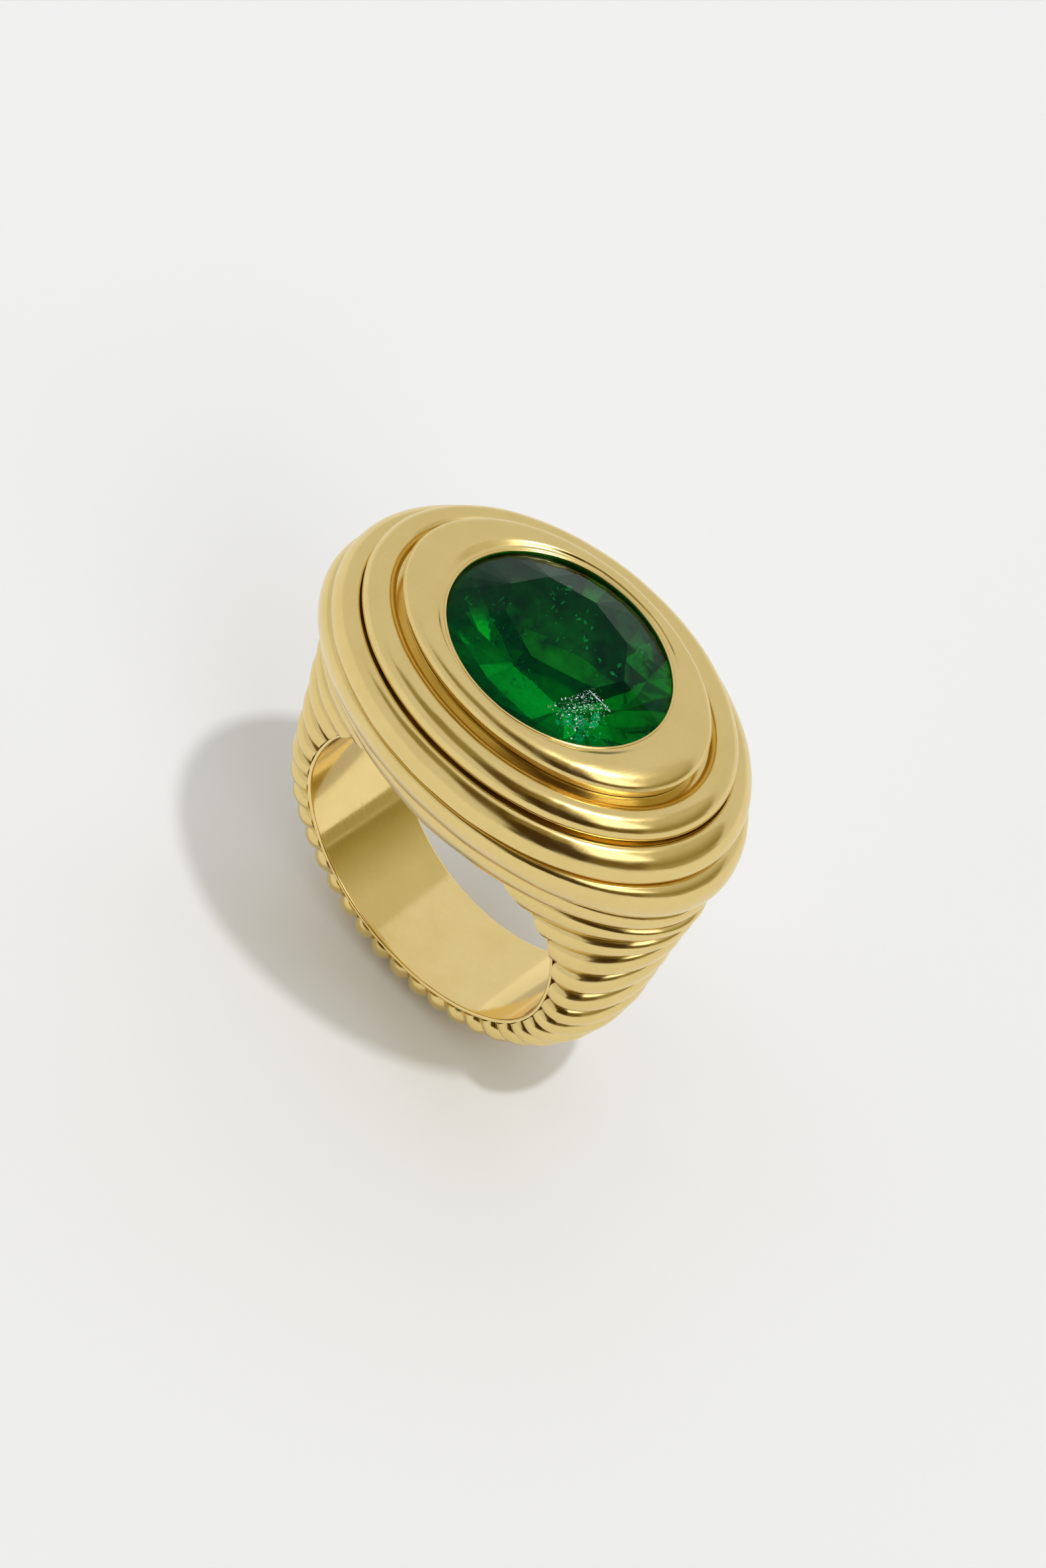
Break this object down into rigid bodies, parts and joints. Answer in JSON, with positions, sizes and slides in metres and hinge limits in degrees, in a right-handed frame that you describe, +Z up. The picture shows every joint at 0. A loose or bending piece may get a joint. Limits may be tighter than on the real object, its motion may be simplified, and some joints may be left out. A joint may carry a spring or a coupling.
{
  "type": "cocktail ring",
  "caption": "Gold cocktail ring with an oval faceted emerald in a wide domed collar on stacked bead tiers, fluted shoulders and shank, and a smooth liner.",
  "frame": {"origin": "under the middle of the ring, on the plane that the lowest flute of the shank touches, with the ring upright and the stone on top", "axes": "+Z up through the stone, +Y along the finger hole's axis, +X along the long axis of the oval stone"},
  "size_m": [0.0262, 0.0174, 0.0297],
  "materials": {
    "gold_satin": "satin",
    "gold_polished": "polished",
    "emerald": "polished"
  },
  "bodies": {
    "root": {"emerald": "emerald", "bezel_collet": "gold_polished", "bezel_collar": "gold_satin", "tier_ring_1": "gold_satin", "tier_ring_2": "gold_satin", "tier_ring_3": "gold_satin", "tier_ring_4": "gold_satin", "shoulder_right": "gold_satin", "shoulder_left": "gold_satin", "lower_shank": "gold_satin", "liner_band": "gold_polished"}
  },
  "joints": []
}
